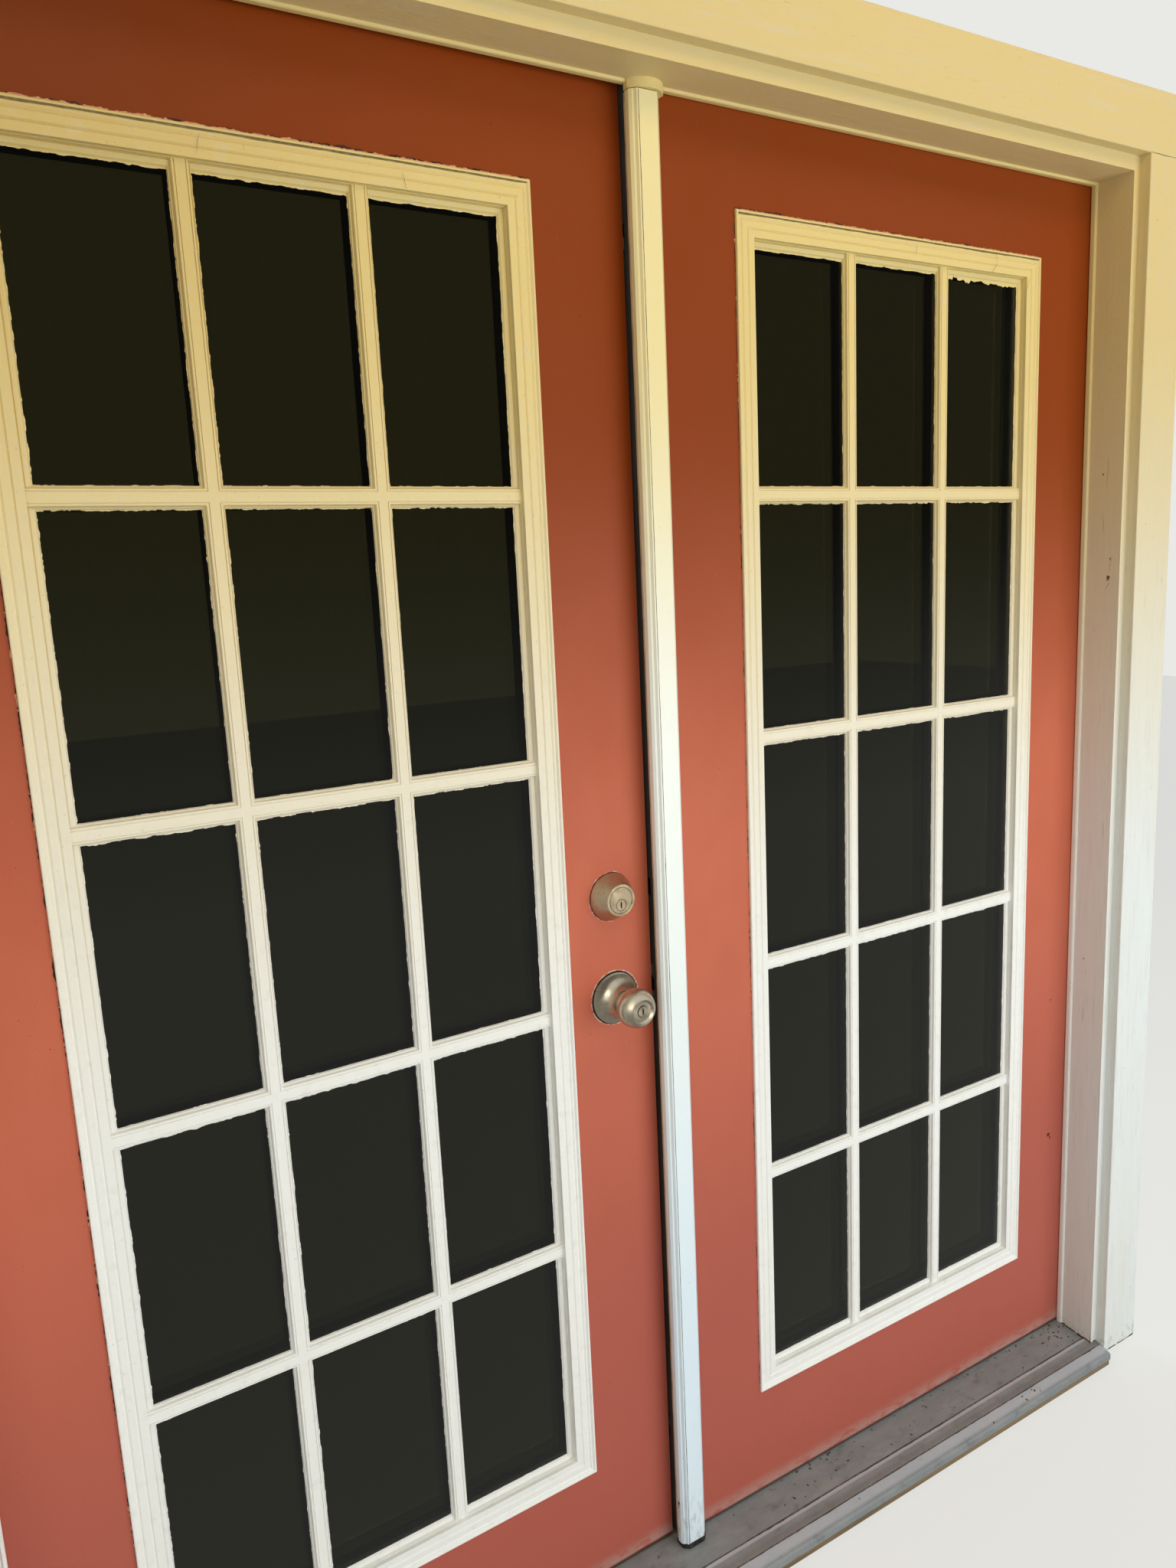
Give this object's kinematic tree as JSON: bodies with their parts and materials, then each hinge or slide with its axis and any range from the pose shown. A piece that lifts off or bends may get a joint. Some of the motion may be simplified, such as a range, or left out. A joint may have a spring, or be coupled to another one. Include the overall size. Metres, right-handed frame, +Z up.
{
  "type": "pair of french doors",
  "caption": "In-swing pair of garden doors with gridded glass inserts, in a cased frame with weathered sill, astragal, knob lock and deadbolt.",
  "frame": {"origin": "underside of the sill, at the middle of the doorway and the front edge of the jambs", "axes": "+X to the right seen from outside, +Y into the house, +Z up"},
  "size_m": [1.9328, 0.2269, 2.1341],
  "materials": {
    "painted_jamb": "painted",
    "painted_casing": "painted",
    "sill_wood": "weathered",
    "threshold_aluminium": "weathered",
    "cap_composite": "worn",
    "white_vinyl_strip": "soft",
    "head_block_plastic": "moulded",
    "hinge_steel": "satin",
    "terracotta_steel": "painted",
    "edge_wood": "painted",
    "foam": "foam",
    "lock_wood": "sawn",
    "lite_frame_plastic": "moulded, painted",
    "pane_glass": "clear",
    "spacer_metal": "mill",
    "sweep_vinyl": "soft",
    "satin_nickel": "satin, worn",
    "bolt_steel": "satin",
    "astragal_white": "painted",
    "astragal_bronze": "dark",
    "cream_vinyl": "soft",
    "guide_plastic": "moulded",
    "black_rubber": "soft"
  },
  "bodies": {
    "frame": {"head_jamb": "painted_jamb", "left_jamb": "painted_jamb", "right_jamb": "painted_jamb", "head_casing": "painted_casing", "left_casing": "painted_casing", "right_casing": "painted_casing", "sill_substrate": "sill_wood", "threshold": "threshold_aluminium", "threshold_cap": "cap_composite", "head_weatherstrip": "white_vinyl_strip", "left_weatherstrip": "white_vinyl_strip", "right_weatherstrip": "white_vinyl_strip", "astragal_head_block": "head_block_plastic", "frame_hinge_leaves": "hinge_steel", "hinge_pins": "hinge_steel"},
    "active_leaf": {"active_outer_skin": "terracotta_steel", "active_inner_skin": "terracotta_steel", "active_edge_frame": "edge_wood", "active_foam_core": "foam", "active_outer_lite_frame": "lite_frame_plastic", "active_inner_lite_frame": "lite_frame_plastic", "active_outer_pane": "pane_glass", "active_inner_pane": "pane_glass", "active_glass_spacer": "spacer_metal", "active_sweep": "sweep_vinyl", "active_hinge_leaves": "hinge_steel", "active_lock_block": "lock_wood", "outer_rose": "satin_nickel", "inner_rose": "satin_nickel", "latch_case": "bolt_steel", "deadbolt_collar": "satin_nickel", "deadbolt_case": "bolt_steel", "deadbolt_inner_rose": "satin_nickel"},
    "knobs": {"outer_knob": "satin_nickel", "inner_knob": "satin_nickel"},
    "knob_plug": {"knob_key_plug": "satin_nickel"},
    "latch": {"latch_bolt": "bolt_steel"},
    "deadbolt": {"deadbolt_bolt": "bolt_steel"},
    "deadbolt_plug": {"deadbolt_key_plug": "satin_nickel"},
    "thumb_turn": {"thumb_turn": "satin_nickel"},
    "passive_leaf": {"passive_outer_skin": "terracotta_steel", "passive_inner_skin": "terracotta_steel", "passive_edge_frame": "edge_wood", "passive_foam_core": "foam", "passive_outer_lite_frame": "lite_frame_plastic", "passive_inner_lite_frame": "lite_frame_plastic", "passive_outer_pane": "pane_glass", "passive_inner_pane": "pane_glass", "passive_glass_spacer": "spacer_metal", "passive_sweep": "sweep_vinyl", "passive_hinge_leaves": "hinge_steel", "astragal_cover": "astragal_white", "astragal_body": "astragal_bronze", "astragal_weatherstrip": "cream_vinyl", "astragal_strikes": "bolt_steel", "astragal_bolt_guides": "guide_plastic", "astragal_bottom_seal": "black_rubber"},
    "top_bolt": {"top_flush_bolt": "bolt_steel"},
    "bottom_bolt": {"bottom_flush_bolt": "bolt_steel"}
  },
  "joints": [
    {"name": "active_swing", "type": "hinge", "parent": "frame", "child": "active_leaf", "pos_m": [-0.8737, 0.122, 1], "axis": [0, 0, 1], "range_deg": [-0.87, 119]},
    {"name": "passive_swing", "type": "hinge", "parent": "frame", "child": "passive_leaf", "pos_m": [0.8737, 0.122, 1], "axis": [0, 0, -1], "range_deg": [0, 120]},
    {"name": "knob_turn", "type": "hinge", "parent": "active_leaf", "child": "knobs", "pos_m": [-0.07736, 0.1059, 0.902], "axis": [0.0153, -0.9999, 0], "range_deg": [-42.5, 17.5]},
    {"name": "latch_slide", "type": "slide", "parent": "active_leaf", "child": "latch", "axis": [0.9999, 0.0153, 0], "range_m": [-0.0035, 0.0085]},
    {"name": "knob_key_turn", "type": "hinge", "parent": "knobs", "child": "knob_plug", "pos_m": [-0.07624, 0.03215, 0.902], "axis": [0.0153, -0.9999, 0], "range_deg": [0, 90]},
    {"name": "thumb_turn_turn", "type": "hinge", "parent": "active_leaf", "child": "thumb_turn", "pos_m": [-0.07736, 0.1059, 1.0354], "axis": [-0.0153, 0.9999, 0], "range_deg": [0, 90]},
    {"name": "deadbolt_slide", "type": "slide", "parent": "active_leaf", "child": "deadbolt", "axis": [0.9999, 0.0153, 0], "range_m": [0, 0.025]},
    {"name": "deadbolt_key_turn", "type": "hinge", "parent": "active_leaf", "child": "deadbolt_plug", "pos_m": [-0.07685, 0.07215, 1.0354], "axis": [-0.0153, 0.9999, 0], "range_deg": [0, 90]},
    {"name": "top_bolt_slide", "type": "slide", "parent": "passive_leaf", "child": "top_bolt", "axis": [0, 0, 1], "range_m": [0, 0.015]},
    {"name": "bottom_bolt_slide", "type": "slide", "parent": "passive_leaf", "child": "bottom_bolt", "axis": [0, 0, 1], "range_m": [-0.015, 0]}
  ],
  "couplings": [
    {"joint": "latch_slide", "follows": "knob_turn", "m_per_rad": -0.011459},
    {"joint": "thumb_turn_turn", "follows": "deadbolt_slide", "rad_per_m": 62.83},
    {"joint": "deadbolt_key_turn", "follows": "deadbolt_slide", "rad_per_m": 62.83}
  ]
}
